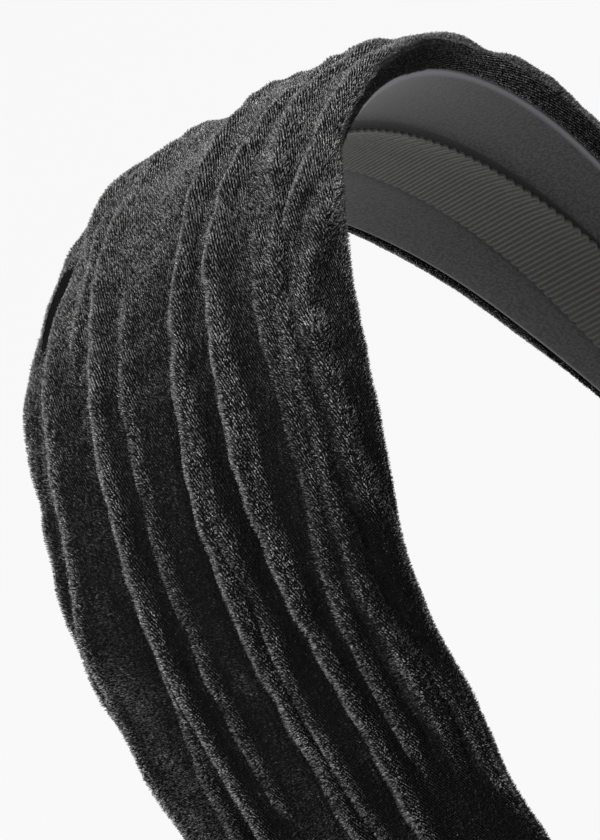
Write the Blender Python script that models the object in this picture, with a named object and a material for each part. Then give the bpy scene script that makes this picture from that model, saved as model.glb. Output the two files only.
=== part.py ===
"""A wide padded headband: a sprung strip with a lined inside and gathered velvet over a foam pad.

The band is one arch. Every layer is a section lofted along it, and a section is drawn with two
numbers: `across`, the distance from the band's middle line towards the back (+Y), and `out`, the
distance outwards from the lined inner face. `share` runs along the arch, from -1 at the right tip
(+X) through 0 at the crown to 1 at the left tip (-X).
"""

import math

import bmesh
import bpy
from mathutils import Vector

MM = 0.001

# The arch, in millimetres and degrees
HALF_SPAN = 65.0  # inner half width at the temples
CROWN_RISE = 71.7  # from the temples up to the inner crown
LEG_AXIS = 100.0  # upright half axis of the flatter ellipse that the legs follow
LEG_SWEEP = 32.0  # degrees of that ellipse, from the temple down to a tip
HALF_TURN = 135.0  # degrees that one half of the arch is counted as, 90 of them above the temples
FOOT_DROP = 4.5  # how far a foot lies below the end of the middle line

# Widths, as half widths
LINED_CROWN = 21.2
LINED_TIP = 5.8
LINED_TAPER = 1.2  # power of the taper between the two
RIBBON = 5.5
RIBBON_TAPE = 4.3
TIP_OVERHANG = 1.15  # how far the velvet stands past the lined strip at a tip
FRONT_OVERHANG = 5.0  # the same at the crown, on the front and back edges
BACK_OVERHANG = 2.8

# Thicknesses
GAP = 0.3
LINING = 0.4
CORE = 1.6
TAPE = 0.2
RIBBON_CLOTH = 0.5
VELVET = 0.9
THREAD = 0.4
WRAP = 0.7

# Heights above the lined inner face
CORE_LOW = LINING + GAP
LINED_TOP = CORE_LOW + CORE + GAP + LINING
HEM_TAPE_LOW = LINED_TOP + GAP
HEM_LOW = HEM_TAPE_LOW + TAPE + GAP
HEM_TOP = HEM_LOW + VELVET
ROLL_LOW = 1.4  # underside of the velvet's rolled edge
WIDEST = 2.5  # where the rolled edge is widest
CROWN_TOP = 7.9
TIP_TOP = 6.5
ROUNDNESS = 0.89  # power of the crowned sections: 1 is an ellipse, less is boxier
BOXINESS = 0.5  # the same for the underside of the rings round a tip

# The velvet's gathers
PLEATS = 5
PLEAT_DEPTH = 0.35
PLEAT_ROOM = 0.9  # how much lower the foam stays at the crown, for the gathers
HEM_SHARE = 0.3  # of the lined half width, that a hem reaches inwards
FLANGE_SHARE = 0.24  # the same for the lining's turned edge

# Places along the arch
WRAP_MOUTH = 0.925
RIBBON_END = 0.945
NECK = (0.957, 0.983)  # where the thread draws the velvet in
FOAM_END = 0.87
TIP_STATIONS = (RIBBON_END, NECK[0], NECK[1], 1.0)
MAIN_STATIONS = 27
THREAD_TURNS = 3
THREAD_MARGIN = 0.1  # share of the neck left free at each end of the thread
RING_POINTS = 16
FOAM_STEPS = 10
INNER_STEPS = 8  # of the velvet's inside, over the crown
HEEL_DROP = 1.2
HEEL_SIZE = 0.96  # the heel's and the foot's outlines against the tip wrap's
FOOT_SIZE = 0.72
SHARP_ANGLE = 40.0  # degrees from which an edge is shaded sharp

DEPTH_SHIFT = (FRONT_OVERHANG - BACK_OVERHANG) / 2  # puts the middle of the depth at y = 0
TEMPLE_HEIGHT = LEG_AXIS * math.sin(math.radians(LEG_SWEEP)) + FOOT_DROP


def clear_scene():
    for thing in list(bpy.data.objects):
        bpy.data.objects.remove(thing)


def material(name, color, roughness, metallic=0.0):
    made = bpy.data.materials.new(name)
    made.use_nodes = True
    shader = made.node_tree.nodes["Principled BSDF"]
    shader.inputs["Base Color"].default_value = (*color, 1.0)
    shader.inputs["Roughness"].default_value = roughness
    shader.inputs["Metallic"].default_value = metallic
    made.diffuse_color = (*color, 1.0)
    return made


def arch(share):
    """(point, outward normal, direction towards the tip) of the inner middle line, as (x, z)."""
    turn = abs(share) * HALF_TURN
    if turn <= 90:
        angle, upright = math.radians(90 - turn), CROWN_RISE
    else:
        angle, upright = -math.radians(LEG_SWEEP * (turn - 90) / (HALF_TURN - 90)), LEG_AXIS
    side = -1 if share > 0 else 1
    point = Vector((side * HALF_SPAN * math.cos(angle), TEMPLE_HEIGHT + upright * math.sin(angle)))
    normal = Vector((side * math.cos(angle) / HALF_SPAN, math.sin(angle) / upright)).normalized()
    along = Vector((side * HALF_SPAN * math.sin(angle), -upright * math.cos(angle))).normalized()
    return point, normal, along


def place(share, across, out, beyond=0.0):
    """World position of a section's point, slid `beyond` further along towards the tip."""
    point, normal, along = arch(share)
    spot = point + normal * out + along * beyond
    return Vector((spot.x, DEPTH_SHIFT + across, spot.y)) * MM


def stations(end):
    """Shares from one tip to the other, as far as `end`. All the layers bend at the same ones."""
    step = 2 * WRAP_MOUTH / (MAIN_STATIONS - 1)
    main = [-WRAP_MOUTH + step * i for i in range(MAIN_STATIONS)]
    shares = [-s for s in reversed(TIP_STATIONS)] + main + list(TIP_STATIONS)
    return [s for s in shares if abs(s) <= end + 1e-6]


def lined_half(share):
    return LINED_TIP + (LINED_CROWN - LINED_TIP) * max(0.0, 1 - share * share) ** LINED_TAPER


def velvet_half(share, edge):
    """Half width of the velvet towards one edge: -1 is the front, 1 is the back."""
    overhang = FRONT_OVERHANG if edge < 0 else BACK_OVERHANG
    return lined_half(share) + TIP_OVERHANG + (overhang - TIP_OVERHANG) * (1 - share * share)


def velvet_top(share):
    return TIP_TOP + (CROWN_TOP - TIP_TOP) * (1 - share * share)


def power(value, exponent):
    return math.copysign(abs(value) ** exponent, value)


def crowned(front, back, high, steps, start=WIDEST):
    """A crowned line over the top, from the back at height `start` to the front at that height."""
    first = math.asin(((start - WIDEST) / (high - WIDEST)) ** (1 / ROUNDNESS))
    line = []
    for i in range(steps + 1):
        angle = first + (math.pi - 2 * first) * i / steps
        across = power(math.cos(angle), ROUNDNESS)
        height = max(math.sin(angle), 0.0) ** ROUNDNESS
        line.append(((back if across > 0 else front) * across, WIDEST + (high - WIDEST) * height))
    return line


def mirrored(half):
    """A closed section from the points on its back half, which run from bottom to top."""
    return half + [(-across, out) for across, out in reversed(half)]


def core_section(share):
    half = lined_half(share) - LINING - GAP
    cut = CORE / 4
    return mirrored([
        (half - cut, CORE_LOW),
        (half, CORE_LOW + cut),
        (half, CORE_LOW + CORE - cut),
        (half - cut, CORE_LOW + CORE),
    ])


def lining_section(share):
    """Cloth round the strip's inner face and both edges, turned a little way over its outer face."""
    half = lined_half(share)
    flange = half * (1 - FLANGE_SHARE)
    cut = LINING
    return mirrored([
        (half - cut, 0.0),
        (half, cut),
        (half, LINED_TOP - cut),
        (half - cut, LINED_TOP),
        (flange, LINED_TOP),
        (flange, LINED_TOP - LINING),
        (half - LINING, LINED_TOP - LINING),
        (half - LINING, LINING),
    ])


def ribbon_section(share):
    low = -2 * GAP - TAPE
    return mirrored([(RIBBON, low - RIBBON_CLOTH), (RIBBON, low)])


def ribbon_tape_section(share):
    return mirrored([(RIBBON_TAPE, -GAP - TAPE), (RIBBON_TAPE, -GAP)])


def hem_tape_section(edge):
    def section(share):
        half = lined_half(share)
        near, far = half * (1 - FLANGE_SHARE) + GAP, half - 2 * GAP
        top = HEM_TAPE_LOW + TAPE
        return [(edge * across, out) for across, out in
                ((near, HEM_TAPE_LOW), (far, HEM_TAPE_LOW), (far, top), (near, top))]
    return section


def foam_section(share):
    """A crowned pad that fills the middle and reaches out over both hems."""
    front = velvet_half(share, -1) - VELVET - 2 * GAP
    back = velvet_half(share, 1) - VELVET - 2 * GAP
    well = lined_half(share) * (1 - HEM_SHARE) - GAP
    low = CORE_LOW + CORE + GAP
    over_hem = HEM_TOP + GAP
    top = velvet_top(share) - VELVET - GAP - PLEAT_ROOM * (1 - share * share)
    crown = crowned(front, back, top, FOAM_STEPS, over_hem)
    return [(-well, low), (well, low), (well, over_hem)] + crown + [(-well, over_hem)]


def squeeze(share):
    """How far the thread draws the velvet in at this share."""
    return THREAD / 2 + GAP if NECK[0] - 1e-6 <= abs(share) <= NECK[1] + 1e-6 else 0.0


def velvet_section(share):
    """Gathered velvet over the foam, rolled under both edges and turned in over the strip."""
    drawn = squeeze(share)
    lined = lined_half(share)
    front, back = velvet_half(share, -1) - drawn, velvet_half(share, 1) - drawn
    top = velvet_top(share) - drawn
    hem = lined * (1 - HEM_SHARE)
    edge = lined + GAP
    outer = []
    for i, (across, out) in enumerate(crowned(front, back, top, 4 * PLEATS)):
        valley = (1 - math.cos(math.pi * i / 2)) / 2 * PLEAT_DEPTH
        outer.append((across, out - (0.0 if drawn else valley)))
    inner = crowned(front - VELVET, back - VELVET, top - VELVET, INNER_STEPS, HEM_TOP)
    roll_front, roll_back = ((edge + 2 * half) / 3 for half in (front, back))
    return (
        [(hem, HEM_LOW), (edge, HEM_LOW), (edge, ROLL_LOW + GAP), (roll_back, ROLL_LOW)]
        + outer
        + [(-roll_front, ROLL_LOW), (-edge, ROLL_LOW + GAP), (-edge, HEM_LOW), (-hem, HEM_LOW)]
        + [(-hem, HEM_TOP)]
        + list(reversed(inner))
        + [(hem, HEM_TOP)]
    )


def ring(half, low, high, turn):
    """A point on a closed ring round a tip, `turn` in radians from the back edge."""
    sine, cosine = math.sin(turn), math.cos(turn)
    if sine >= 0:
        return half * power(cosine, ROUNDNESS), WIDEST + (high - WIDEST) * sine ** ROUNDNESS
    return half * power(cosine, BOXINESS), WIDEST - (WIDEST - low) * (-sine) ** BOXINESS


def thread_points(side):
    """A coil that binds the gathered velvet to the lined strip."""
    count = THREAD_TURNS * RING_POINTS
    points = []
    for i in range(count + 1):
        along = THREAD_MARGIN + (1 - 2 * THREAD_MARGIN) * i / count
        share = side * (NECK[0] + (NECK[1] - NECK[0]) * along)
        stand = THREAD / 2 + GAP
        half = velvet_half(share, -1) - squeeze(share) + stand
        top = velvet_top(share) - squeeze(share) + stand
        across, out = ring(half, -stand, top, 2 * math.pi * i / RING_POINTS)
        points.append(place(share, across, out))
    return points


def wrap_loop(side, share, grow, beyond=0.0, size=1.0):
    """A ring of points round the band's end, `grow` outside the space that the layers need."""
    low = -2 * GAP - TAPE - RIBBON_CLOTH - GAP
    middle = (velvet_top(share) + low) / 2
    loop = []
    for i in range(2 * RING_POINTS):
        half = velvet_half(share, -1) + THREAD / 2 + GAP + grow
        top = velvet_top(share) + THREAD / 2 + GAP + grow
        across, out = ring(half, low - grow, top, math.pi * i / RING_POINTS)
        out = middle + (out - middle) * size
        loop.append(place(side * share, across * size, out, beyond))
    return loop


def to_ground(loop, side):
    """The loop slid along the leg until it lies flat on z = 0."""
    along = arch(side)[2]
    return [Vector((p.x - along.x / along.y * p.z, p.y, 0.0)) for p in loop]


def add(name, mesh, paint):
    mesh.materials.append(paint)
    made = bpy.data.objects.new(name, mesh)
    bpy.context.scene.collection.objects.link(made)
    return made


def loft(name, loops, paint):
    """One closed body through the loops, capped at both ends."""
    body = bmesh.new()
    rows = [[body.verts.new(point) for point in loop] for loop in loops]
    for row, following in zip(rows, rows[1:]):
        for i in range(len(row)):
            j = (i + 1) % len(row)
            body.faces.new((row[i], row[j], following[j], following[i]))
    body.faces.new(reversed(rows[0]))
    body.faces.new(rows[-1])
    bmesh.ops.recalc_face_normals(body, faces=body.faces)
    mesh = bpy.data.meshes.new(name)
    body.to_mesh(mesh)
    body.free()
    mesh.shade_smooth()
    mesh.set_sharp_from_angle(angle=math.radians(SHARP_ANGLE))
    return add(name, mesh, paint)


def layer(name, section, end, paint):
    """A part of the band with one section all along it, as far as `end` towards both tips."""
    loops = [[place(share, *point) for point in section(share)] for share in stations(end)]
    return loft(name, loops, paint)


def tip_wrap(name, side, paint):
    """A cloth cap over a tip: an open pocket for the band's end, and a flat foot at z = 0."""
    shares = [WRAP_MOUTH, NECK[0], 1.0]
    pocket = [wrap_loop(side, 1.0, 0.0, beyond=GAP)]
    pocket += [wrap_loop(side, share, 0.0) for share in reversed(shares)]
    shell = [wrap_loop(side, share, WRAP) for share in shares]
    heel = wrap_loop(side, 1.0, WRAP, beyond=HEEL_DROP, size=HEEL_SIZE)
    foot = to_ground(wrap_loop(side, 1.0, WRAP, size=FOOT_SIZE), side)
    return loft(name, pocket + shell + [heel, foot], paint)


def thread(name, side, paint):
    curve = bpy.data.curves.new(name, "CURVE")
    curve.dimensions = "3D"
    curve.fill_mode = "FULL"
    curve.use_fill_caps = True
    curve.bevel_depth = THREAD / 2 * MM
    curve.bevel_resolution = 0
    points = thread_points(side)
    line = curve.splines.new("POLY")
    line.points.add(len(points) - 1)
    for spot, point in zip(line.points, points):
        spot.co = (*point, 1.0)
    return add(name, curve, paint)


def main():
    clear_scene()
    plastic = material("core_plastic", (0.055, 0.055, 0.06), 0.4)
    lining = material("lining_cloth", (0.045, 0.044, 0.05), 0.85)
    ribbon = material("ribbon_cloth", (0.04, 0.04, 0.037), 0.7)
    adhesive = material("adhesive_film", (0.62, 0.58, 0.48), 0.3)
    foam = material("pad_foam", (0.1, 0.1, 0.1), 0.95)
    velvet = material("cover_velvet", (0.012, 0.012, 0.013), 0.9)
    cotton = material("gather_thread", (0.015, 0.015, 0.015), 0.6)
    layer("core_band", core_section, 1.0, plastic)
    layer("lining_wrap", lining_section, 1.0, lining)
    layer("ribbon_tape", ribbon_tape_section, WRAP_MOUTH, adhesive)
    layer("grosgrain_ribbon", ribbon_section, RIBBON_END, ribbon)
    layer("front_hem_tape", hem_tape_section(-1), WRAP_MOUTH, adhesive)
    layer("rear_hem_tape", hem_tape_section(1), WRAP_MOUTH, adhesive)
    layer("foam_pad", foam_section, FOAM_END, foam)
    layer("velvet_cover", velvet_section, 1.0, velvet)
    for name, side in (("left", 1), ("right", -1)):
        thread(name + "_gather_thread", side, cotton)
        tip_wrap(name + "_tip_wrap", side, velvet)


main()
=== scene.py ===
"""The looks of a wide gathered-velvet headband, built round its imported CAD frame.

A place along the arch is a share: 0 at the crown, 1 at the left tip and -1 at the right tip.
A place round the cover is a lie: 0 at the back edge and 1 at the front edge, and the hems lie beyond.
A section is made of (across, out) pairs in mm: across towards the back, out away from the head.
"""

import math
from collections import namedtuple

import bmesh
import bpy
import numpy as np
from mathutils import Matrix, Vector


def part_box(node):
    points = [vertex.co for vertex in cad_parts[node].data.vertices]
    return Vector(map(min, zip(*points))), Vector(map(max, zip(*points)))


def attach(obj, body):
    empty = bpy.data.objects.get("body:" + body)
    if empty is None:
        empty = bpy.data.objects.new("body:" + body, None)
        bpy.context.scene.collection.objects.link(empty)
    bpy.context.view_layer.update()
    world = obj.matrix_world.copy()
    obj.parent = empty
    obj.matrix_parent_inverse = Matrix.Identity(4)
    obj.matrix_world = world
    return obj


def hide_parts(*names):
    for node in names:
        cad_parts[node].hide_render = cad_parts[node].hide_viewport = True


MM = 0.001
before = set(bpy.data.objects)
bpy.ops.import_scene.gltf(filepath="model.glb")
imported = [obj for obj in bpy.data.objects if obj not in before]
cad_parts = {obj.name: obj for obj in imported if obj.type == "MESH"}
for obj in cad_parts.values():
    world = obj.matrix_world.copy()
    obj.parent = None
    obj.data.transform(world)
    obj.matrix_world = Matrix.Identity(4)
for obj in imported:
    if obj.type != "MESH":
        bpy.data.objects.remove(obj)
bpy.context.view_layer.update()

# ---------------------------------------------------------------- the arch, in millimetres
LINED_TOP = 3.0  # thickness of the lined strip
CROWN_RISE = 71.7  # from the temples up to the inner crown
LEG_AXIS = 100.0  # half height of the ellipse that the legs follow below the temples
LEG_SWEEP = math.radians(32.0)  # how far round that ellipse they go
UPPER_SHARE = 90 / 135  # share of one half of the arch that lies above the temples
LINED_LOW, LINED_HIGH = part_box("lining_wrap")
HALF_SPAN = LINED_HIGH.x / MM - LINED_TOP
TEMPLE_HEIGHT = LINED_HIGH.z / MM - LINED_TOP - CROWN_RISE
MID_DEPTH = (LINED_LOW.y + LINED_HIGH.y) / 2 / MM
LINED_CROWN = (LINED_HIGH.y - LINED_LOW.y) / 2 / MM  # half width of the strip at the crown
LINED_TIP = 5.8  # and at the tips
LINED_TAPER = 1.2
COVER_LOW, COVER_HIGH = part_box("velvet_cover")
FRONT_OVERHANG = MID_DEPTH - COVER_LOW.y / MM - LINED_CROWN
BACK_OVERHANG = COVER_HIGH.y / MM - MID_DEPTH - LINED_CROWN
TIP_OVERHANG = 1.15
CROWN_TOP = 7.9  # how far out the cover reaches at the crown
TIP_TOP = 6.5  # and at the tips
WIDEST = 2.5  # how far out it is widest
ROUNDNESS = 0.89  # 1 gives an elliptical section, less a boxier one


def arch(share):
    """Inner middle line: positions (n, 2) as (x, z) in mm and outward unit normals (n, 2)."""
    share = np.asarray(share, float)
    turn = np.abs(share)
    upper = turn <= UPPER_SHARE
    angle = np.where(
        upper,
        math.pi / 2 * (1 - turn / UPPER_SHARE),
        -LEG_SWEEP * (turn - UPPER_SHARE) / (1 - UPPER_SHARE),
    )
    upright = np.where(upper, CROWN_RISE, LEG_AXIS)
    side = np.where(share > 0, -1.0, 1.0)
    x = side * HALF_SPAN * np.cos(angle)
    z = TEMPLE_HEIGHT + upright * np.sin(angle)
    nx = side * np.cos(angle) / HALF_SPAN
    nz = np.sin(angle) / upright
    size = np.hypot(nx, nz)
    return np.stack([x, z], -1), np.stack([nx / size, nz / size], -1)


def lined_half(share):
    return LINED_TIP + (LINED_CROWN - LINED_TIP) * np.maximum(0, 1 - share**2) ** LINED_TAPER


def velvet_half(share, edge):
    overhang = FRONT_OVERHANG if edge < 0 else BACK_OVERHANG
    return lined_half(share) + TIP_OVERHANG + (overhang - TIP_OVERHANG) * (1 - share**2)


def uneven_half(share, edge):
    return velvet_half(share, edge) + smooth_line(BULGES[edge], share)


def velvet_top(share):
    return TIP_TOP + (CROWN_TOP - TIP_TOP) * (1 - share**2)


def lay(share, across, out):
    """World points in metres of section points: share (n,), across and out (n, m) in mm."""
    point, normal = arch(share)
    x = point[:, :1] + normal[:, :1] * out
    z = point[:, 1:] + normal[:, 1:] * out
    return np.stack([x, MID_DEPTH + across, z], -1) * MM


def even_shares(count, end=1.0):
    """Shares from -end to end at equal distances along the arch, and the length they span in mm."""
    fine = np.linspace(-end, end, 4001)
    point, _ = arch(fine)
    length = np.concatenate([[0], np.cumsum(np.hypot(*np.diff(point, axis=0).T))])
    return np.interp(np.linspace(0, length[-1], count), length, fine), length[-1]


# ---------------------------------------------------------------- mesh helpers
def mesh_object(name, points, faces, smooth=True):
    mesh = bpy.data.meshes.new(name)
    flat = np.asarray(points, np.float32).reshape(-1, 3)
    mesh.vertices.add(len(flat))
    mesh.vertices.foreach_set("co", flat.ravel())
    counts = np.array([len(f) for f in faces])
    mesh.loops.add(int(counts.sum()))
    mesh.loops.foreach_set("vertex_index", np.concatenate([np.asarray(f) for f in faces]))
    mesh.polygons.add(len(faces))
    mesh.polygons.foreach_set("loop_start", np.concatenate([[0], np.cumsum(counts)[:-1]]))
    mesh.update(calc_edges=True)
    mesh.validate()
    if smooth:
        mesh.shade_smooth()
    made = bpy.data.objects.new(name, mesh)
    bpy.context.scene.collection.objects.link(made)
    return made


def tube_faces(rows, columns):
    """Faces of a loft of closed loops, closed at both ends: rows of `columns` points each."""
    index = np.arange(rows * columns).reshape(rows, columns)
    following = np.roll(index, -1, axis=1)
    quads = np.stack([index[:-1], index[1:], following[1:], following[:-1]], -1).reshape(-1, 4)
    return list(quads) + [index[0], index[-1][::-1]]


def lofted(name, points):
    """A closed body from (rows, columns, 3) points whose faces look outwards."""
    points = np.asarray(points, float)
    made = mesh_object(name, points, tube_faces(points.shape[0], points.shape[1]))
    work = bmesh.new()
    work.from_mesh(made.data)
    bmesh.ops.recalc_face_normals(work, faces=work.faces)
    work.to_mesh(made.data)
    work.free()
    return made


def spline_rows(controls, places):
    """Catmull-Rom lines through controls (n, k, 2), read at `places` (m,) in control units."""
    k = controls.shape[1]
    whole = np.clip(np.floor(places).astype(int), 0, k - 2)
    t = (places - whole)[None, :, None]
    before = controls[:, np.clip(whole - 1, 0, k - 1)]
    first = controls[:, whole]
    second = controls[:, whole + 1]
    after = controls[:, np.clip(whole + 2, 0, k - 1)]
    return 0.5 * (
        2 * first
        + (second - before) * t
        + (2 * before - 5 * first + 4 * second - after) * t**2
        + (3 * first - before - 3 * second + after) * t**3
    )


def grid_normals(points):
    along = np.gradient(points, axis=0)
    across = np.gradient(points, axis=1)
    normal = np.cross(along, across)
    return unit(normal)


def unit(vectors):
    return vectors / np.maximum(np.linalg.norm(vectors, axis=-1, keepdims=True), 1e-12)


def smooth_step(value):
    value = np.clip(value, 0, 1)
    return value * value * (3 - 2 * value)


def fade(share, start, end, soft=0.05):
    """1 between start and end, easing to 0 over `soft` outside them."""
    return smooth_step((share - start) / soft + 1) * smooth_step((end - share) / soft + 1)


def smooth_line(points, share, reach=0.03):
    """A soft line through (share, value) pairs."""
    known, values = np.array(points, float).T
    fine = np.linspace(-1.2, 1.2, 1201)
    line = np.interp(fine, known, values)
    steps = int(reach / (fine[1] - fine[0]))
    window = np.hanning(2 * steps + 3)
    padded = np.pad(line, steps + 1, mode="edge")
    line = np.convolve(padded, window / window.sum(), mode="valid")
    return np.interp(share, fine, line)


def waves(along, girth, seed, count, shortest, longest):
    """A smooth seeded field of `count` plane waves, about -1 to 1. Lengths are in mm."""
    draw = np.random.default_rng(seed)
    total = np.zeros(np.broadcast(along, girth).shape)
    for _ in range(count):
        length = draw.uniform(shortest, longest)
        angle = draw.uniform(0, 2 * math.pi)
        shift = draw.uniform(0, 2 * math.pi)
        place = along * math.cos(angle) + girth * math.sin(angle)
        total = total + np.sin(place * 2 * math.pi / length + shift)
    return total / math.sqrt(count)


def running_sum(steps):
    return np.concatenate([np.zeros((len(steps), 1)), np.cumsum(steps, axis=1)], axis=1)


# ---------------------------------------------------------------- the velvet's plain outline
HEM_REACH = 0.72  # where the hems end, as a share of the strip's half width
HEM_RISE = 3.9  # how far out the hems lie, on the strip's back
HEM_THICK = 0.2  # thickness of the cloth there
WALL_GAP = 0.34  # between the strip's edge and the cloth that turns round it
WALL_TOP, WALL_FOOT = 2.2, 0.45  # how far out the cloth passes the strip's edge
ROLL_LOW = 0.35  # how far out the roll's underside is
ROLL_POINTS = 6  # control points of one rolled edge
CROWN_STEPS = 12  # control steps from the back edge over the crown to the front edge
HOLLOW_START, HOLLOW_END = -0.25, -0.05  # where the front roll stands clear of the strip
HOLLOW_SOFT = 0.15
HOLLOW_RISE = 1.9
HOLLOW_LIFT = 0.3  # how much of that rise the widest line follows

# How much further than its plain outline the gathered cloth stands out at each edge, as
# (share, mm) pairs: -1 is the front edge and 1 the back edge.
BULGES = {
    -1: [
        (-.3, .2), (-.13, -.6), (-.05, -1.1), (.0, .3), (.08, 1.2), (.15, 2.1), (.2, 2.1), (.27, 1.3),
        (.31, .5), (.36, .7), (.41, 2.0), (.48, .9), (.53, 1.5), (.6, 1.0), (.7, .5), (.9, 0),
    ],
    1: [
        (-.85, -.3), (-.76, .0), (-.70, .9), (-.6, 1.4), (-.5, .6), (-.25, .4), (-.15, -.2), (-.05, -.4),
        (.0, .2), (.05, .9), (.1, .7), (.2, .4), (.27, .8), (.36, -.2), (.42, -.3), (.55, .2), (.9, 0),
    ],
}


def hollow(share, edge):
    """How far in mm the front roll stands clear of the strip near the crown."""
    if edge > 0:
        return np.zeros_like(share)
    return HOLLOW_RISE * fade(share, HOLLOW_START, HOLLOW_END, HOLLOW_SOFT)


def roll_controls(share, edge):
    """Control points of one rolled edge from the hem's end to the crown, as (n, 6, 2)."""
    lined = lined_half(share)
    spare = uneven_half(share, edge) - lined
    low = ROLL_LOW + hollow(share, edge)
    level = np.zeros_like(share)
    points = [
        (HEM_REACH * lined, level + HEM_RISE),
        (lined + 0.1, level + HEM_RISE),
        (lined + WALL_GAP, level + WALL_TOP),
        (lined + WALL_GAP + 0.02, level + WALL_FOOT),
        (lined + WALL_GAP + 0.3 * spare, low),
        (lined + 0.9 * spare, np.maximum(low, 1.0)),
    ]
    across, out = (np.stack(values, 1) for values in zip(*points))
    return np.stack([edge * across, out], -1)


def cover_controls(share):
    """Control points of the whole section, from the back hem's end to the front hem's end."""
    angles = np.pi * np.arange(CROWN_STEPS + 1) / CROWN_STEPS
    cosine = np.sign(np.cos(angles)) * np.abs(np.cos(angles)) ** ROUNDNESS
    height = np.maximum(np.sin(angles), 0) ** ROUNDNESS
    back, front = uneven_half(share, 1)[:, None], uneven_half(share, -1)[:, None]
    across = np.where(cosine > 0, back, front) * cosine
    widest = WIDEST + HOLLOW_LIFT * hollow(share, -1)[:, None] * (cosine < 0)
    out = widest + (velvet_top(share)[:, None] - widest) * height
    crown = np.stack([across, out], -1)
    return np.concatenate(
        [roll_controls(share, 1), crown, roll_controls(share, -1)[:, ::-1]], axis=1
    )


# ---------------------------------------------------------------- the gathers
# A gather has a line of (share, lie) pairs, the shares where it starts and ends, its height in mm,
# the way its steep flank faces and its gentle flank's width.
Gather = namedtuple("Gather", "line start end tall side gentle")
TO_BACK, TO_FRONT = -1, 1  # as the lie and the girth grow from the back edge to the front edge
GATHERS = [
    Gather([(-1, .112), (-.4, .092), (0, .102), (1, .052)], -1, .3, 0.8, TO_BACK, 2.0),
    Gather(
        [(-1, .21), (-.3, .23), (.1, .255), (.2, .235), (.3, .16), (.4, .11), (1, .12)],
        -1, 1, 1.0, TO_BACK, 2.6,
    ),
    Gather([(-1, .312), (-.2, .322), (.02, .342), (.15, .342), (1, .292)], -1, .04, 0.9, TO_BACK, 2.2),
    Gather([(.24, .412), (.31, .382), (.36, .352), (.42, .322), (1, .272)], .28, 1, 0.8, TO_BACK, 1.6),
    Gather(
        [(-1, .38), (-.2, .39), (.1, .395), (.3, .39), (.42, .39), (1, .36)],
        -1, 1, 1.3, TO_BACK, 2.6,
    ),
    Gather([(-1, .462), (.1, .452), (.35, .452), (1, .462)], .06, .40, 0.7, TO_BACK, 1.4),
    Gather(
        [(-1, .55), (-.14, .56), (.03, .55), (.13, .535), (.24, .53), (.36, .54), (1, .56)],
        -1, 1, 1.3, TO_BACK, 1.3,
    ),
    Gather([(-1, .572), (.12, .542), (.21, .542), (.34, .562), (1, .592)], .17, 1, 1.0, TO_BACK, 2.2),
    Gather(
        [(-1, .652), (-.16, .692), (-.05, .632), (.05, .602), (.24, .602), (.36, .642), (1, .672)],
        -1, 1, 1.4, TO_BACK, 2.2,
    ),
    Gather([(-1, .612), (.13, .612), (.22, .622), (.28, .627), (1, .652)], .15, .30, 0.9, TO_BACK, 1.8),
    Gather([(-1, .702), (.1, .692), (.24, .712), (.38, .702), (1, .732)], .06, .42, 0.8, TO_BACK, 1.6),
    Gather(
        [(-1, .74), (-.2, .73), (.1, .73), (.19, .75), (.32, .77), (.4, .79), (1, .80)],
        -1, .42, 1.2, TO_FRONT, 2.4,
    ),
    Gather(
        [(-1, .852), (-.3, .872), (-.05, .852), (.02, .782), (.06, .752), (1, .752)],
        -.34, .04, 1.0, TO_BACK, 2.4,
    ),
    Gather([(-1, .86), (1, .86)], -1, -.44, 0.9, TO_BACK, 2.4),
    Gather([(-.4, .30), (-.17, .285), (0, .28)], -.25, -.10, 1.9, TO_BACK, 2.8),
    Gather(
        [(-.1, .98), (0, .92), (.06, .86), (.11, .78), (.19, .81), (.26, .84), (.31, .90), (1, .95)],
        .04, .25, 1.3, TO_FRONT, 3.0,
    ),
    Gather([(-1, .85), (.38, .84), (.44, .88), (.5, .93), (1, .9)], .41, .47, 0.9, TO_FRONT, 1.8),
    Gather([(-1, .80), (.48, .78), (1, .84)], .55, 1, 1.1, TO_FRONT, 2.2),
    Gather([(-1, .192), (.5, .212), (1, .192)], .55, 1, 0.9, TO_BACK, 2.2),
]
# Wide hollows of the cloth: share, lie, how far each reaches in both, height in mm.
SWELLS = [
    (-.03, .20, .07, .14, -1.3),
    (.15, .08, .09, .12, -.8),
    (-.27, .93, .08, .12, -1.2),
    (-.20, .72, .05, .10, -.9),
    (-.14, .48, .05, .09, -.8),
    (-.43, .97, .08, .12, -.6),
]
# Small creases of the whole cloth: height in mm, how much shorter they are round the band than
# along it, seed, shortest and longest in mm.
CREASES = [(0.22, 2.2, 3, 14, 45), (0.06, 1.6, 5, 4, 9)]
CREASE_WAVES = 9
PILE_ROOM = 1.25  # how far the cloth lies below its plain outline between gathers, in mm
DEEPEST = -2.3  # the lowest it goes, in mm
FLAT_LIE = 0.20  # how far past the edges, as a lie, the gathers reach into the hems
FLAT_SOFT = 0.13  # over how much of that they fade
STEEP = 0.9  # half width in mm of a gather's steep flank
CREST = 1.1  # how far a gather's rounded crest reaches down its gentle side, in mm
FALL = 1.6  # how fast the gentle flank falls
WOBBLE = 0.22  # how far in mm a gather's line wanders
UNEVEN = 0.22  # how much its height changes along it
OPEN_MIDDLE = 0.35  # where beside a crest its pile is a little longer and its colour carries a painted sheen, in mm, and how far that reaches
OPEN_HALF = 0.46
TROUGH = 0.22  # depth of the hollow at a gather's foot, as a share of its height
TROUGH_PLACE, TROUGH_HALF = 2.4, 0.9  # its distance from the crest and its half width, in mm
CROWDING, CROWD_HALF = 2.5, 0.45  # how much closer the mesh's columns lie at a steep flank


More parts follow.
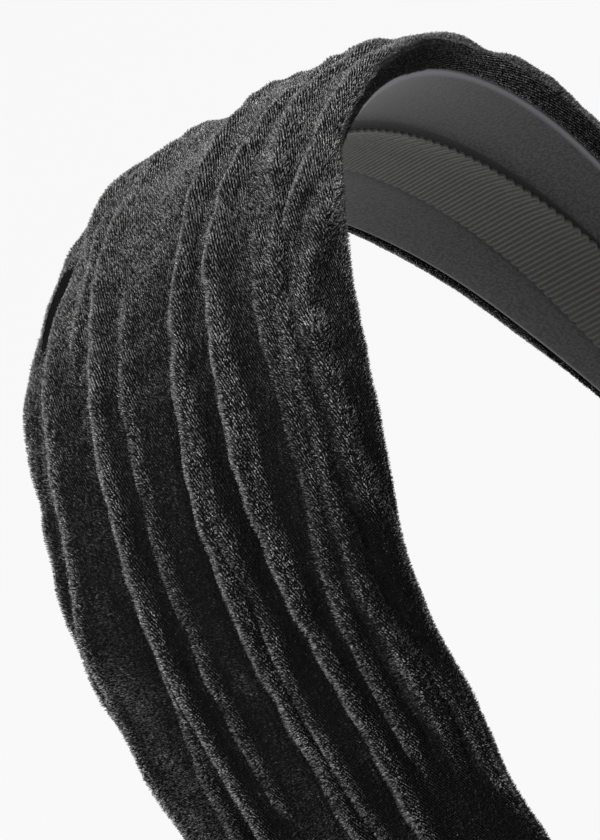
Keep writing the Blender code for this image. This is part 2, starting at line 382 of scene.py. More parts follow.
def flank(distance, steep_side, gentle):
    """A fold's height across it: steep on one side, easing down on the other."""
    d = distance * steep_side
    steep = np.exp(-np.maximum(d, 0) ** 2 / (2 * STEEP**2))
    away = np.abs(np.minimum(d, 0))
    soft = np.exp(-(np.sqrt(away**2 + CREST**2) - CREST) / gentle * FALL)
    depth = TROUGH if steep_side == TO_BACK else 0.0
    trough = -depth * np.exp(-((d - TROUGH_PLACE) ** 2) / (2 * TROUGH_HALF**2))
    return np.where(d > 0, steep, soft) + trough


class Cover:
    """The velvet's outer surface as a grid: stations along the band by places round the section."""

    def __init__(self, stations, columns):
        self.share, self.length = even_shares(stations)
        self.along = np.linspace(-self.length / 2, self.length / 2, stations)[:, None]
        controls = cover_controls(self.share)
        fine = np.linspace(0, controls.shape[1] - 1, 1601)
        section = spline_rows(controls, fine)
        steps = np.linalg.norm(np.diff(section, axis=1), axis=2)
        lie = (fine - ROLL_POINTS) / CROWN_STEPS
        girth = running_sum(steps)
        girth = girth - np.array([np.interp(0, lie, row) for row in girth])[:, None]
        middles = self.gather_middles(lie, girth)
        spots = self.crowded_spots(girth, steps, middles, columns)

        def read(grid):
            return np.array([np.interp(s, np.arange(len(fine)), g) for s, g in zip(spots, grid)])

        self.lie = read(np.broadcast_to(lie, girth.shape))
        self.girth = read(girth)
        self.base = lay(self.share, read(section[:, :, 0]), read(section[:, :, 1]))
        self.base_normal = grid_normals(self.base)
        self.height = self.relief(middles)
        self.points = self.base + self.base_normal * (self.height * MM)[:, :, None]
        self.normal = grid_normals(self.points)

    def gather_middles(self, lie, girth):
        """For each gather, its strength in mm and its girth at every station."""
        found = []
        line_place = self.along[:, 0]
        for seed, gather in enumerate(GATHERS, 20):
            where = smooth_line(gather.line, self.share)
            middle = np.array([np.interp(w, lie, row) for w, row in zip(where, girth)])
            middle = middle + WOBBLE * waves(line_place, 0.0, seed, 6, 5, 22)
            uneven = 1 + UNEVEN * waves(line_place, 0.0, seed + 40, 5, 4, 18)
            found.append((fade(self.share, gather.start, gather.end) * gather.tall * uneven, middle))
        return found

    def crowded_spots(self, girth, steps, middles, columns):
        """Places round the section, closer together at the gathers' steep flanks."""
        centre = (girth[:, 1:] + girth[:, :-1]) / 2
        weight = np.ones(centre.shape)
        for (strength, middle), gather in zip(middles, GATHERS):
            off = centre - middle[:, None] - gather.side * STEEP
            near = np.exp(-(off**2) / (2 * CROWD_HALF**2))
            weight += CROWDING * np.minimum(strength, 1)[:, None] * near
        total = running_sum(steps * weight)
        marks = np.linspace(0, 1, columns)
        return np.array([np.interp(marks * row[-1], row, np.arange(len(row))) for row in total])

    def relief(self, middles):
        """Height in mm of the gathered cloth over its plain outline."""
        narrow = np.clip(self.girth[:, -1:] / self.girth[:, -1:].max(), 0.35, 1)
        height = np.zeros(self.girth.shape)
        self.crest_sheen_and_length = np.zeros(self.girth.shape)
        for (strength, middle), gather in zip(middles, GATHERS):
            distance = (self.girth - middle[:, None]) / narrow
            shape = flank(distance, gather.side, gather.gentle)
            # beside each crest the pile grows a little longer and its colour carries a painted sheen
            crest_sheen_and_length = np.exp(-((distance * gather.side + OPEN_MIDDLE) ** 2) / (2 * OPEN_HALF**2))
            self.crest_sheen_and_length = np.maximum(self.crest_sheen_and_length, crest_sheen_and_length * np.minimum(strength / 1.2, 1)[:, None])
            raised = shape * (strength * narrow[:, 0])[:, None]
            height = np.maximum(height, raised) + np.minimum(raised, 0)
        for share, lie, long, wide, tall in SWELLS:
            far = ((self.share[:, None] - share) / long) ** 2 + ((self.lie - lie) / wide) ** 2
            height += tall * np.exp(-far)
        for tall, shorter, seed, shortest, longest in CREASES:
            height += tall * waves(self.along, self.girth * shorter, seed, CREASE_WAVES, shortest, longest)
        inside = smooth_step((self.lie + FLAT_LIE) / FLAT_SOFT)
        inside = inside * smooth_step((1 + FLAT_LIE - self.lie) / FLAT_SOFT)
        return np.maximum(height - PILE_ROOM, DEEPEST) * inside

    def under(self, depth, low, first, places=26):
        """A coarser layer (across, out), `depth` mm below the lowest cloth nearby.

        It runs from lie `first` to 1 - `first` and is never less than `low` mm out.
        """
        last_row, last_column = len(self.share) - 1, self.lie.shape[1] - 1
        rows = np.arange(last_row + 1)[:, None]
        spots = np.linspace(first, 1 - first, places)
        column = np.array([np.interp(spots, lie, np.arange(len(lie))) for lie in self.lie]).astype(int)
        near = [
            self.height[np.clip(rows + a, 0, last_row), np.clip(column + b, 0, last_column)]
            for a in range(-6, 7, 3)
            for b in range(-9, 10, 3)
        ]
        level = np.min(near, axis=0) - depth
        spot = self.base[rows, column] + self.base_normal[rows, column] * (level * MM)[:, :, None]
        spot = spot / MM
        point, normal = arch(self.share)
        out = (spot[:, :, 0] - point[:, :1]) * normal[:, :1] + (spot[:, :, 2] - point[:, 1:]) * normal[:, 1:]
        return spot[:, :, 1] - MID_DEPTH, np.maximum(out, low)


VELVET_THICK = 0.6
INSIDE_LIE = 0.2  # the lie at which the velvet's inside leaves its hem
FOAM_END = 0.8
FOAM_DEPTH = 1.2  # how far the pad lies below the cloth
FOAM_OVER_HEM = 0.7
FOAM_LIE = 0.36
FOAM_GAP = 0.4  # between the pad's well and the hems


def velvet_cover():
    """The gathered velvet, turned in at both hems, and its inside."""
    cover = Cover(430, 200)
    across, out = cover.under(VELVET_THICK, HEM_RISE + HEM_THICK, INSIDE_LIE)
    hem = HEM_REACH * lined_half(cover.share)[:, None]
    low = np.full_like(hem, HEM_RISE + HEM_THICK)
    across = np.concatenate([-hem, across[:, ::-1], hem], axis=1)
    out = np.concatenate([low, out[:, ::-1], low], axis=1)
    inside = lay(cover.share, across, out)
    return cover, lofted("velvet_cover_soft", np.concatenate([cover.points, inside], axis=1))


def foam(cover):
    """The pad between the strip and the velvet's inside."""
    kept = np.abs(cover.share) <= FOAM_END
    over_hem = HEM_RISE + FOAM_OVER_HEM
    across, out = cover.under(FOAM_DEPTH, over_hem, FOAM_LIE)
    well = HEM_REACH * lined_half(cover.share[kept])[:, None] - FOAM_GAP
    high, low = np.full_like(well, over_hem), np.full_like(well, LINED_TOP)
    across = np.concatenate([across[kept], -well, -well, well, well], axis=1)
    out = np.concatenate([out[kept], high, low, low, high], axis=1)
    return lofted("foam_pad_soft", lay(cover.share[kept], across, out))


# ---------------------------------------------------------------- lining and ribbon
CLOTH_END = 0.995
LINING_THICK = 0.4
LINING_EDGE = 0.7  # radius of the strip's rounded edges
LINING_LAP = 0.76  # how far the lining laps on to the strip's back, as a share of its half width


def lining_columns(half):
    """One side of the lining's section from the middle, round the edge and back, as (across, out)."""
    turn = np.linspace(0, math.pi / 2, 6)
    dip, inset = LINING_EDGE * (1 - np.cos(turn)), LINING_EDGE * (np.sin(turn) - 1)
    inner, corner = half - LINING_THICK, half - 2 * LINING_THICK
    columns = [(half * f, 0.0) for f in (0, 0.2, 0.4, 0.6, 0.8)]
    columns += [(half + r, o) for r, o in zip(inset, dip)]
    columns += [(half + r, LINED_TOP - o) for r, o in zip(inset[::-1], dip[::-1])]
    columns += [(half * LINING_LAP, LINED_TOP), (half * LINING_LAP, LINED_TOP - LINING_THICK)]
    columns += [(corner, LINED_TOP - LINING_THICK), (inner, LINED_TOP - 2 * LINING_THICK)]
    columns += [(inner, 2 * LINING_THICK), (corner, LINING_THICK)]
    columns += [(half * f, LINING_THICK) for f in (0.8, 0.6, 0.4, 0.2, 0)]
    return columns


def lining():
    share, length = even_shares(360, CLOTH_END)
    half = lined_half(share)[:, None]
    right = [(a, np.full_like(half, o)) for a, o in lining_columns(half)]
    left = [(-a, o) for a, o in reversed(right[1:-1])]
    across = np.concatenate([a for a, _ in right + left], axis=1)
    out = np.concatenate([o for _, o in right + left], axis=1)
    made = lofted("lining_cloth_wrap", lay(share, across, out))
    along = np.linspace(0, length, len(share))[:, None]
    # distance from the strip's edge on its face, which the lining's paint reads for a painted highlight
    from_edge = half - np.abs(across) + 2.0 * (out > 1.0)
    cloth_coordinates(made, along, across, from_edge)
    return made


RIBBON_END = 0.945
RIBBON_HALF = 5.5
RIBBON_THICK = 0.45
RIBBON_SINK = 0.06  # how far its back sinks into the lining's face
RIB_PITCH = 0.94
RIB_RELIEF = 0.14
RIB_STEPS = 8  # mesh rows to a rib
SCALLOP = 0.42  # how far the edge threads stand out
LOOSE_START, LOOSE_END, LOOSE_SOFT = -0.52, -0.2, 0.16  # where the front edge lifts most
LOOSE_LEAST, LOOSE_MOST = 0.2, 0.95  # how far it lifts, in mm
FLAT_FRACTION = 0.3  # the front part beyond this lifts
RIBBON_FRACTIONS = (-1, -.985, -.95, -.85, -.7, -.5, -.25, 0, .3, .6, .85, .95, .985, 1)


def ribbon():
    """Grosgrain: ribs across it, scalloped edges, and a front edge that lifts off the lining."""
    _, length = even_shares(2, RIBBON_END)
    ribs = int(length / RIB_PITCH)
    share, _ = even_shares(ribs * RIB_STEPS + 1, RIBBON_END)
    along = np.linspace(0, ribs, len(share))[:, None]
    rib = 0.5 - 0.5 * np.cos(2 * math.pi * along)
    scallop = SCALLOP * np.abs(np.sin(math.pi * along / 2)) ** 0.6
    fractions = np.array(RIBBON_FRACTIONS)
    across = (RIBBON_HALF - 0.12 + scallop) * fractions
    loose = fade(share, LOOSE_START, LOOSE_END, LOOSE_SOFT)[:, None]
    loose = LOOSE_LEAST + (LOOSE_MOST - LOOSE_LEAST) * loose
    lift = loose * np.clip((-fractions - FLAT_FRACTION) / (1 - FLAT_FRACTION), 0, 1) ** 1.5
    bend = np.where(np.abs(fractions) > 0.97, 0.35, 1.0)
    back = np.broadcast_to(-RIBBON_SINK - lift, across.shape)
    face = back - RIBBON_THICK - RIB_RELIEF * rib * bend
    out = np.concatenate([face, back[:, ::-1]], axis=1)
    across = np.concatenate([across, across[:, ::-1] * 0.997], axis=1)
    made = lofted("grosgrain_ribbon_ribbed", lay(share, across, out))
    # marks the ribbon's back, which its paint makes black: painted shade for the crevice under the lifted
    # front edge
    behind = np.concatenate([np.zeros_like(face), np.ones_like(face)], axis=1)
    cloth_coordinates(made, along * RIB_PITCH, across, behind)
    return made


# ---------------------------------------------------------------- node materials
class Paint:
    """A small builder of node materials round one Principled shader."""

    def __init__(self, name):
        self.material = bpy.data.materials.new(name)
        self.material.use_nodes = True
        self.nodes = self.material.node_tree.nodes
        self.links = self.material.node_tree.links
        self.shader = self.nodes["Principled BSDF"]

    def node(self, kind, **inputs):
        made = self.nodes.new(kind)
        for key, value in inputs.items():
            socket = made.inputs[key.replace("_", " ")]
            self.feed(value, socket)
        return made

    def feed(self, value, socket):
        if isinstance(value, bpy.types.NodeSocket):
            self.links.new(value, socket)
        else:
            socket.default_value = value

    def set(self, **inputs):
        for key, value in inputs.items():
            self.feed(value, self.shader.inputs[key.replace("_", " ")])

    def attribute(self, name):
        made = self.nodes.new("ShaderNodeAttribute")
        made.attribute_name = name
        return made

    def weave(self, scale):
        """Position along and round the cloth in mm, stretched by scale (x, y, z)."""
        made = self.node("ShaderNodeMapping", Vector=self.attribute("cloth").outputs["Vector"])
        made.inputs["Scale"].default_value = scale
        return made.outputs["Vector"]

    def part(self, axis):
        """One part of the position on the cloth: 0 along, 1 round, 2 depth."""
        made = self.node("ShaderNodeSeparateXYZ", Vector=self.attribute("cloth").outputs["Vector"])
        return made.outputs[axis]

    def place(self, scale):
        source = self.nodes.new("ShaderNodeNewGeometry")
        made = self.node("ShaderNodeMapping", Vector=source.outputs["Position"])
        made.inputs["Scale"].default_value = scale
        return made.outputs["Vector"]

    def noise(self, vector, scale, detail=2.0, rough=0.5):
        made = self.node("ShaderNodeTexNoise", Vector=vector, Scale=scale, Detail=detail, Roughness=rough)
        return made.outputs["Fac"]

    def math(self, operation, first, second=0.0, clamp=False):
        made = self.nodes.new("ShaderNodeMath")
        made.operation = operation
        made.use_clamp = clamp
        self.feed(first, made.inputs[0])
        self.feed(second, made.inputs[1])
        return made.outputs[0]

    def spread(self, value, low, high, to_low=0.0, to_high=1.0):
        made = self.node("ShaderNodeMapRange", Value=value)
        made.inputs["From Min"].default_value = low
        made.inputs["From Max"].default_value = high
        self.feed(to_low, made.inputs["To Min"])
        self.feed(to_high, made.inputs["To Max"])
        return made.outputs[0]

    def mix(self, factor, first, second):
        made = self.nodes.new("ShaderNodeMix")
        made.data_type = "RGBA"
        self.feed(factor, made.inputs["Factor"])
        self.feed(first, made.inputs[6])
        self.feed(second, made.inputs[7])
        return made.outputs[2]

    def bump(self, height, depth, strength=1.0):
        """Bump from a height of 0 to 1 that stands for `depth` mm."""
        made = self.node("ShaderNodeBump", Height=height, Strength=strength, Distance=depth * MM)
        self.feed(made.outputs["Normal"], self.shader.inputs["Normal"])


def grey(value, warm=0.0):
    return (value * (1 + warm), value, value * (1 - warm), 1.0)


def velvet_ground():
    """The dark ground under the pile, which shows between its rows."""
    p = Paint("velvet_ground")
    rows = p.noise(p.weave((1.05, 2.4, 1)), 1.0, 3)
    grain = p.noise(p.weave((3.2, 6.0, 1)), 1.0, 2)
    lit = p.math("MULTIPLY", p.spread(rows, 0.42, 0.7), p.spread(grain, 0.45, 0.75), True)
    p.set(Base_Color=p.mix(lit, grey(0.004), grey(0.014)), Specular_IOR_Level=0.0)
    p.set(Roughness=p.spread(grain, 0.3, 0.7, 0.6, 0.95))
    p.bump(p.math("ADD", p.math("MULTIPLY", rows, 0.6), p.math("MULTIPLY", grain, 0.4)), 0.25)
    return p.material


def velvet_cap():
    """The short flattened pile of the tips, as a mottled cloth."""
    p = Paint("velvet_cap")
    tufts = p.noise(p.place((900, 900, 2200)), 1.0, 3, 0.65)
    patch = p.noise(p.place((180, 180, 180)), 1.0, 2)
    lit = p.math("MULTIPLY", p.spread(tufts, 0.38, 0.68), p.spread(patch, 0.3, 0.7, 0.5, 1.0), True)
    p.set(Base_Color=p.mix(lit, grey(0.006), grey(0.055)), Roughness=0.85, Specular_IOR_Level=0.1)
    p.set(Sheen_Weight=0.12, Sheen_Roughness=0.5)
    p.bump(tufts, 0.5)
    return p.material


def velvet_pile():
    """Separate fibres: mostly dark, with a few that shine. Their colour holds a painted sheen, darkest where
    one looks into the pile, and painted shade towards their roots.
    """
    p = Paint("velvet_pile")
    info = p.nodes.new("ShaderNodeHairInfo")
    view = p.nodes.new("ShaderNodeNewGeometry")
    facing = p.nodes.new("ShaderNodeVectorMath")
    facing.operation = "DOT_PRODUCT"
    p.feed(p.attribute("cloth_normal").outputs["Vector"], facing.inputs[0])
    p.feed(view.outputs["Incoming"], facing.inputs[1])
    aside = p.math("SUBTRACT", 1.0, facing.outputs["Value"], True)
    # painted sheen: brighter as the cloth under a fibre turns edge-on to the view
    glow = p.math("MINIMUM", p.math("POWER", aside, 1.2), 0.42)
    # painted shade: darker towards the roots
    tip = p.spread(info.outputs["Intercept"], 0.25, 0.85, 0.15, 1.0)
    tone = p.math("MULTIPLY", p.math("MULTIPLY", p.attribute("shine").outputs["Fac"], glow), tip)
    # painted glints: a few random fibres get a near-white colour
    spark = p.math("MULTIPLY", p.math("POWER", info.outputs["Random"], 45.0), 0.35)
    p.set(Base_Color=p.mix(p.math("ADD", tone, spark, True), grey(0.012, 0.03), grey(0.85)))
    p.set(Roughness=p.spread(info.outputs["Random"], 0, 1, 0.6, 0.35))
    p.set(Specular_IOR_Level=p.spread(glow, 0.2, 1.2, 0.1, 0.5))
    return p.material


def lining_cloth():
    """Matte charcoal cloth, with a painted highlight along the strip's edge and painted black shade in the
    ribbon's shadow.
    """
    p = Paint("lining_cloth")
    fibre = p.noise(p.place((2400, 2400, 2400)), 1.0, 3, 0.6)
    patch = p.noise(p.place((60, 60, 60)), 1.0, 2)
    base = p.mix(p.spread(fibre, 0.40, 0.60), grey(0.003), (0.038, 0.036, 0.038, 1))
    base = p.mix(p.spread(patch, 0.3, 0.7, 0, 0.3), base, (0.020, 0.019, 0.0215, 1))
    # painted highlight: paler along the strip's rounded edge, where it catches the light
    base = p.mix(p.spread(p.part(2), 0.1, 0.75, 1.0, 0.0), base, (0.12, 0.114, 0.124, 1))
    from_ribbon = p.math("ABSOLUTE", p.math("ADD", p.part(1), 0.3))
    under = p.spread(from_ribbon, RIBBON_HALF + 0.12, RIBBON_HALF + 0.40, 1.0, 0.0)
    p.set(Base_Color=p.mix(under, base, grey(0.001)), Roughness=p.spread(fibre, 0.3, 0.7, 0.7, 0.9))
    p.set(Sheen_Weight=0.15, Sheen_Roughness=0.5, Specular_IOR_Level=0.3)
    p.bump(fibre, 0.12, 0.8)
    return p.material


def ribbon_cloth():
    p = Paint("ribbon_cloth")
    thread = p.noise(p.weave((1.2, 9.0, 1)), 1.0, 3, 0.6)
    fine = p.noise(p.place((2500, 2500, 2500)), 1.0, 2)
    face = p.mix(thread, (0.012, 0.012, 0.011, 1), (0.036, 0.035, 0.031, 1))
    # painted shade: the ribbon's back is near black, for the crevice under its lifted front edge
    p.set(Base_Color=p.mix(p.part(2), face, grey(0.001)))
    p.set(Roughness=p.spread(fine, 0.3, 0.7, 0.5, 0.75), Sheen_Weight=0.1, Specular_IOR_Level=0.4)
    p.bump(thread, 0.06, 0.6)
    return p.material


def plain(name, color, roughness, scale=400, depth=0.03):
    """A moulded or pressed stuff with a slight grain."""
    p = Paint(name)
    grain = p.noise(p.place((scale, scale, scale)), 1.0, 3)
    darker = tuple(c * 0.7 for c in color) + (1,)
    p.set(Base_Color=p.mix(grain, darker, (*color, 1)))
    p.set(Roughness=p.spread(grain, 0.3, 0.7, roughness * 0.85, min(1, roughness * 1.15)))
    p.bump(grain, depth, 0.5)
    return p.material


def clothe(piece, material):
    piece.data.materials.clear()
    piece.data.materials.append(material)


def cloth_coordinates(piece, along, girth, depth=0.0):
    """Stores where each vertex lies on its cloth, in mm, for the weave."""
    data = np.zeros((len(piece.data.vertices), 3), np.float32)
    data[:, 0] = np.broadcast_to(along, girth.shape).ravel()
    data[:, 1] = girth.ravel()
    data[:, 2] = np.broadcast_to(depth, girth.shape).ravel()
    made = piece.data.attributes.new("cloth", "FLOAT_VECTOR", "POINT")
    made.data.foreach_set("vector", data.ravel())


# ---------------------------------------------------------------- the pile
FIBRES, QUICK_FIBRES = 850000, 60000
ROW_PITCH = 0.29  # in mm, as all lengths here
ROW_TURN = math.radians(17)  # the rows run on the bias of the cloth
ROW_PULL = 0.6  # how much of its distance from its row a fibre gives up
TUFT_PITCH = 0.6
PILE_LENGTH = 0.36
PILE_RADIUS = 0.025
PILE_SUNK = 0.15  # how far a fibre's root lies under the cloth
PILE_EDGE = 0.27  # how far into the hems, as a lie, the pile goes on
NAP = 0.28  # how far the pile leans towards the right tip


class Scatter:
    """Random places spread evenly over the cover, where its grids can be read."""

    def __init__(self, cover, count, draw):
        points = cover.points / MM
        long = np.linalg.norm(points[1:, :-1] - points[:-1, :-1], axis=2)
        wide = np.linalg.norm(points[:-1, 1:] - points[:-1, :-1], axis=2)
        area, lie = long * wide, cover.lie[:-1, :-1]
        area[(lie < -PILE_EDGE) | (lie > 1 + PILE_EDGE)] = 0
        total = np.cumsum(area.ravel())
        cell = np.searchsorted(total, draw.random(count) * total[-1])
        self.i, self.j = np.divmod(cell, area.shape[1])
        i, j = self.i, self.j
        self.a, self.b = draw.random(count), draw.random(count)
        self.root = self.at(points)
        self.up = unit(self.at(cover.normal))
        self.ahead = unit(points[i + 1, j] - points[i, j])
        over = unit(points[i, j + 1] - points[i, j])
        self.beside = over * math.cos(ROW_TURN) - self.ahead * math.sin(ROW_TURN)
        self.along = self.at(np.broadcast_to(cover.along, cover.girth.shape))
        self.girth = self.at(cover.girth)
        self.lie = self.at(cover.lie)
        self.share = self.at(np.broadcast_to(cover.share[:, None], cover.girth.shape))
        self.crest_sheen_and_length = self.at(cover.crest_sheen_and_length)

    def at(self, grid):
        """The grid's values at the places."""
        i, j = self.i, self.j
        a, b = (self.a[:, None], self.b[:, None]) if grid.ndim == 3 else (self.a, self.b)
        return (
            grid[i, j] * (1 - a) * (1 - b) + grid[i + 1, j] * a * (1 - b)
            + grid[i, j + 1] * (1 - a) * b + grid[i + 1, j + 1] * a * b
        )

    def tufts(self):
        """Each place's distance from its row in mm, and its tuft's three leans of -1 to 1."""
        across = self.girth * math.cos(ROW_TURN) - self.along * math.sin(ROW_TURN)
        down = self.along * math.cos(ROW_TURN) + self.girth * math.sin(ROW_TURN)
        row = np.round(across / ROW_PITCH)
        tuft = np.round(down / TUFT_PITCH + row * 0.37)
        key = (row * 7919 + tuft * 104729).astype(np.int64)
        lean = np.sin(key[:, None] * np.array([12.9898, 78.233, 37.719]) % 1000.0 * 4.7)
        return across - row * ROW_PITCH, lean


def hair_object(name, points, radius, material):
    """Fibres from (n, k, 3) points in metres."""
    count, steps = points.shape[:2]
    data = bpy.data.hair_curves.new(name)
    data.add_curves([steps] * count)
    data.position_data.foreach_set("vector", points.astype(np.float32).ravel())
    thick = data.attributes.get("radius") or data.attributes.new("radius", "FLOAT", "POINT")
    thick.data.foreach_set("value", radius.astype(np.float32).ravel())
    data.materials.append(material)
    made = bpy.data.objects.new(name, data)
    bpy.context.scene.collection.objects.link(made)
    return made


def pile(cover, count, material):
    """The velvet's fibres, in tufts that stand in rows. They grow a little longer at the crests, where their
    colour carries a painted sheen, and lie flat in the hems.
    """
    draw = np.random.default_rng(11)
    places = Scatter(cover, count, draw)
    off, lean = places.tufts()
    fibre = draw.normal(size=(count, 3))
    lie, up, beside = places.lie, places.up, places.beside
    tucked = np.clip((np.maximum(-lie - 0.04, lie - 1) - 0.05) / 0.12, 0, 1)
    # painted shade: the fibres in the pocket under the front roll near the crown are darkened
    shaded = np.clip((lie - 1.0) / 0.06, 0, 1) * hollow(places.share, -1) / HOLLOW_RISE
    crest_sheen_and_length = np.clip(places.crest_sheen_and_length * (1 + 0.5 * lean[:, 1] + 0.2 * fibre[:, 0]), 0, 1)
    length = PILE_LENGTH * (0.9 + 0.14 * lean[:, 2] + 0.16 * fibre[:, 2] + 0.2 * crest_sheen_and_length)
    half_length = (length * (1 - 0.65 * tucked) / 2)[:, None]
    # each fibre's tone: random, times painted shade in that pocket and a painted highlight on the crests of
    # the left half
    shine = draw.random(count) ** 3 * (1 - 0.95 * shaded)
    shine = shine * (1 + 1.1 * crest_sheen_and_length * smooth_step(places.share * 5))
    way = unit(
        up
        - places.ahead * (NAP + 0.12 * lean[:, :1] + 0.15 * fibre[:, :1])
        + beside * (0.10 * lean[:, 1:2] + 0.12 * fibre[:, 1:2])
    )
    root = places.root - beside * (off * ROW_PULL)[:, None]
    middle = root + (way * 0.6 + up * 0.4) * half_length
    strands = np.stack([root - up * PILE_SUNK, middle, middle + way * half_length], axis=1) * MM
    radius = np.array([1.0, 0.9, 0.6]) * (PILE_RADIUS * MM) * (1 + np.minimum(shine, 1)[:, None])
    made = hair_object("velvet_pile_fibres", strands, radius, material)
    # painted sheen: a shorter cloth normal makes the shader brighten the fibres at the crests and on the
    # back hem
    weight = (1 - 0.5 * tucked * (lie < 0)) * (1 - 0.85 * crest_sheen_and_length)
    stored = made.data.attributes.new("cloth_normal", "FLOAT_VECTOR", "CURVE")
    stored.data.foreach_set("vector", (up * weight[:, None]).astype(np.float32).ravel())
    stored = made.data.attributes.new("shine", "FLOAT", "CURVE")
    stored.data.foreach_set("value", shine.astype(np.float32))
    return made


# ---------------------------------------------------------------- tips
CAP_START = 0.925  # the share where the caps begin
CAP_SIDE_RINGS, CAP_END_RINGS = 14, 12
CAP_POINTS = 72
CAP_SPARE, CAP_OVER, CAP_UNDER = 0.65, 0.55, 1.4  # beyond the velvet's edges, top and underside
CAP_ROUNDNESS = 0.72
CAP_BEYOND = 3.4  # how far a cap's end goes past the arch's end
CAP_DEEP = 2.4  # how far its mouth goes in


def cap_ring(side, share, size):
    """One ring of a tip cap in mm, as a share `size` of its section about its middle."""
    turn = np.arange(CAP_POINTS) * 2 * math.pi / CAP_POINTS
    s, c = np.sin(turn), np.cos(turn)
    top = velvet_top(share) + CAP_OVER
    middle = (top - CAP_UNDER) / 2
    across = (velvet_half(share, -1) + CAP_SPARE) * np.sign(c) * np.abs(c) ** CAP_ROUNDNESS
    rise = (top - middle) * np.sign(s) * np.abs(s) ** CAP_ROUNDNESS
    return lay(np.array([side * share]), (across * size)[None], (middle + rise * size)[None])[0] / MM


def tip_cap(name, side):
    """A soft rounded cap of folded cloth over a tip, flat where it stands."""
    _, normal = arch(np.array([side * 1.0]))
    down = np.array([-normal[0, 1], 0, normal[0, 0]])
    down = -down if down[2] > 0 else down
    rings = [cap_ring(side, share, 1.0) for share in np.linspace(CAP_START, 1.0, CAP_SIDE_RINGS)]
    for angle in np.arange(1, CAP_END_RINGS + 1) / CAP_END_RINGS * math.pi / 2:
        size = math.cos(angle * 0.80) ** 0.6
        rings.append(cap_ring(side, 1.0, size) + down * (CAP_BEYOND * math.sin(angle)))
    for ring in rings:
        ring[:, 2] = np.maximum(ring[:, 2], 0.0)
    middle = rings[0].mean(axis=0)
    mouth = [
        middle + (rings[0] - middle) * size + down * deep
        for size, deep in ((0.4, CAP_DEEP), (0.88, CAP_DEEP), (0.93, 0.0))
    ]
    return lofted(name + "_soft", np.array(mouth + rings) * MM)


# ---------------------------------------------------------------- stage, lights, camera
CAMERA_AZIMUTH = math.radians(-54.87)
CAMERA_ELEVATION = math.radians(29.90)
CAMERA_ROLL = math.radians(-47.46)
CAMERA_DISTANCE = 556.5  # in mm, as the target is
CAMERA_TARGET = Vector((-6.26, 1.1, 108.47))
CAMERA_LENS = 195.7
# Towards each lamp as (right, up, back) in the picture, then distance, size in metres and power.
LAMPS = {
    "key": ((-0.72, 0.30, 0.62), 0.9, 0.4, 16.5),
    "fill": ((0.6, 0.2, 0.9), 1.4, 1.0, 10),
    "top": ((0.1, 1.0, -0.2), 1.0, 0.6, 4),
    "right": ((1.0, -0.3, 0.15), 1.0, 0.5, 22),
}
FLOOR_HALF = 6
FLOOR_DROP = 0.0002


def camera():
    data = bpy.data.cameras.new("view")
    data.lens = CAMERA_LENS
    data.sensor_width = 36
    data.clip_start = 0.01
    data.clip_end = 20
    made = bpy.data.objects.new("view", data)
    bpy.context.scene.collection.objects.link(made)
    flat, high = math.cos(CAMERA_ELEVATION), math.sin(CAMERA_ELEVATION)
    back = Vector((math.sin(CAMERA_AZIMUTH) * flat, -math.cos(CAMERA_AZIMUTH) * flat, high))
    turn = (-back).to_track_quat("-Z", "Y").to_matrix() @ Matrix.Rotation(CAMERA_ROLL, 3, "Z")
    made.matrix_world = Matrix.Translation((CAMERA_TARGET + back * CAMERA_DISTANCE) * MM) @ turn.to_4x4()
    bpy.context.scene.camera = made
    return made


def lamp(name, eye, towards, distance, size, power):
    """A soft round panel that faces the camera's target."""
    way = (eye.matrix_world.to_3x3() @ Vector(towards)).normalized()
    data = bpy.data.lights.new(name, "AREA")
    data.shape = "DISK"
    data.size = size
    data.energy = power
    made = bpy.data.objects.new(name, data)
    bpy.context.scene.collection.objects.link(made)
    turn = (-way).to_track_quat("-Z", "Y").to_matrix()
    made.matrix_world = Matrix.Translation(CAMERA_TARGET * MM + way * distance) @ turn.to_4x4()


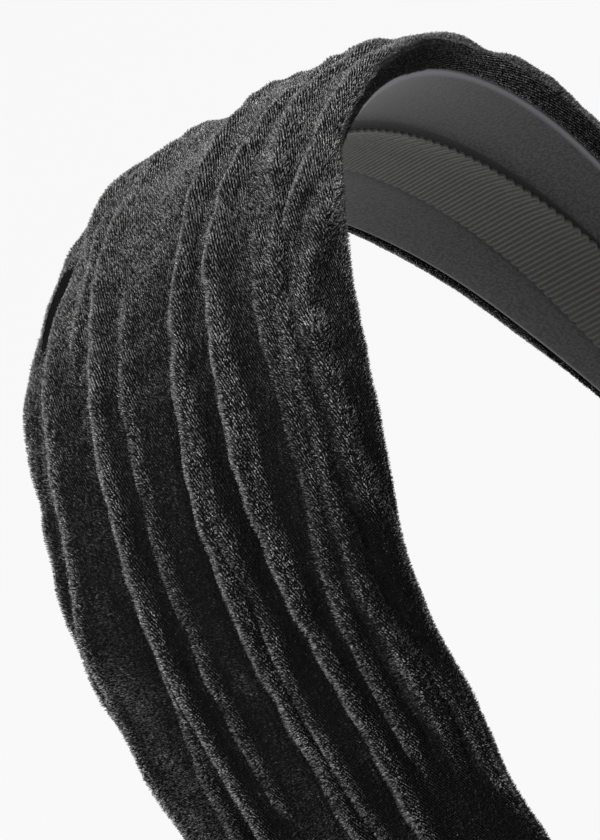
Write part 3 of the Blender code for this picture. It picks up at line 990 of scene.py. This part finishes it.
def stage():
    """A pale floor that gives a little light of its own, and a soft white world."""
    corners = [(x * FLOOR_HALF, y * FLOOR_HALF, 0) for x, y in ((-1, -1), (1, -1), (1, 1), (-1, 1))]
    floor = mesh_object("floor", corners, [np.arange(4)], False)
    floor.location.z = -FLOOR_DROP
    p = Paint("pale_floor")
    fine = p.noise(p.place((30, 30, 30)), 1.0, 3)
    p.set(Base_Color=p.mix(fine, grey(0.019), grey(0.021)), Roughness=0.9, Specular_IOR_Level=0.1)
    p.set(Emission_Color=(1, 1, 1, 1), Emission_Strength=0.90)
    clothe(floor, p.material)
    world = bpy.data.worlds.new("studio")
    world.use_nodes = True
    background = world.node_tree.nodes["Background"]
    background.inputs["Color"].default_value = (1, 1, 1, 1)
    background.inputs["Strength"].default_value = 0.25
    bpy.context.scene.world = world
    bpy.context.scene.view_settings.view_transform = "Standard"


# ---------------------------------------------------------------- build
def dress(piece, material, slot, *nodes):
    """Puts a piece on the root body in place of CAD nodes."""
    clothe(piece, material)
    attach(piece, "root")
    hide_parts(*nodes)


def velvet():
    """The cover, its pile, the pad under it and the caps on its tips."""
    cover, cloth = velvet_cover()
    columns = len(cloth.data.vertices) // len(cover.share)
    girth = np.zeros((len(cover.share), columns))
    girth[:, : cover.girth.shape[1]] = cover.girth
    cloth_coordinates(cloth, cover.along, girth)
    dress(cloth, velvet_ground(), "cover_velvet", "velvet_cover")
    dress(foam(cover), plain("pad_foam", (0.1, 0.1, 0.1), 0.95, 1500, 0.2), "pad_foam", "foam_pad")
    fibres = pile(cover, FIBRES, velvet_pile())
    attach(fibres, "root")
    cap_cloth = velvet_cap()
    for name, side in (("left_tip_wrap", 1), ("right_tip_wrap", -1)):
        dress(tip_cap(name, side), cap_cloth, "cover_velvet", name)


def inner_pieces():
    """Materials for the CAD pieces that stay as they are inside."""
    film = plain("adhesive_film", (0.62, 0.58, 0.48), 0.3)
    thread = plain("gather_thread", (0.015, 0.015, 0.015), 0.6, 2500)
    clothe(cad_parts["core_band"], plain("core_plastic", (0.055, 0.055, 0.06), 0.4))
    for node in ("front_hem_tape", "rear_hem_tape"):
        clothe(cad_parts[node], film)
    for node in ("left_gather_thread", "right_gather_thread"):
        clothe(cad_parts[node], thread)


velvet()
dress(lining(), lining_cloth(), "lining_cloth", "lining_wrap")
dress(ribbon(), ribbon_cloth(), "ribbon_cloth", "grosgrain_ribbon", "ribbon_tape")
inner_pieces()
stage()
eye = camera()
for name, settings in LAMPS.items():
    lamp(name, eye, *settings)
